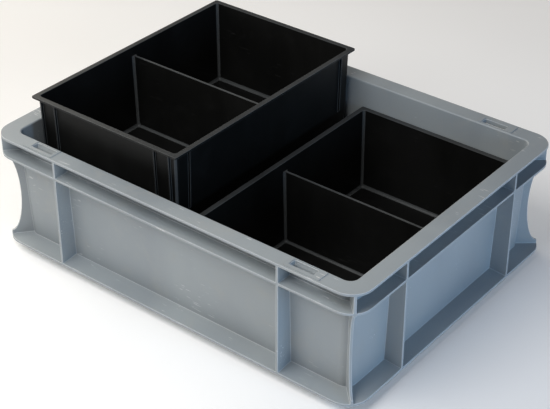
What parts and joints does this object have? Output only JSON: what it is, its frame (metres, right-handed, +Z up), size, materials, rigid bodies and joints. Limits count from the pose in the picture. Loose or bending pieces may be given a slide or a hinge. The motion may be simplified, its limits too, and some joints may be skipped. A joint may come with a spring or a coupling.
{
  "type": "stacking container",
  "caption": "Rectangular stacking container with ribbed walls, a wide slotted rim and lift-out insert bins, each parted into compartments by a dividing wall.",
  "frame": {"origin": "centre of the container's footprint, on the surface that it stands on", "axes": "+X along the container's long side, +Y along its short side, towards the back, +Z up"},
  "size_m": [0.4, 0.3, 0.1513],
  "materials": {
    "container_plastic": "satin moulded, blue-grey",
    "insert_plastic": "satin moulded, black"
  },
  "bodies": {
    "container": {"container": "container_plastic"},
    "insert_left": {"insert_left": "insert_plastic"},
    "insert_right": {"insert_right": "insert_plastic"}
  },
  "joints": [
    {"name": "insert_left_lift", "type": "slide", "parent": "container", "child": "insert_left", "axis": [0, 0, 1], "range_m": [-0.0565, 0.06]},
    {"name": "insert_right_lift", "type": "slide", "parent": "container", "child": "insert_right", "axis": [0, 0, 1], "range_m": [0, 0.1165]}
  ]
}
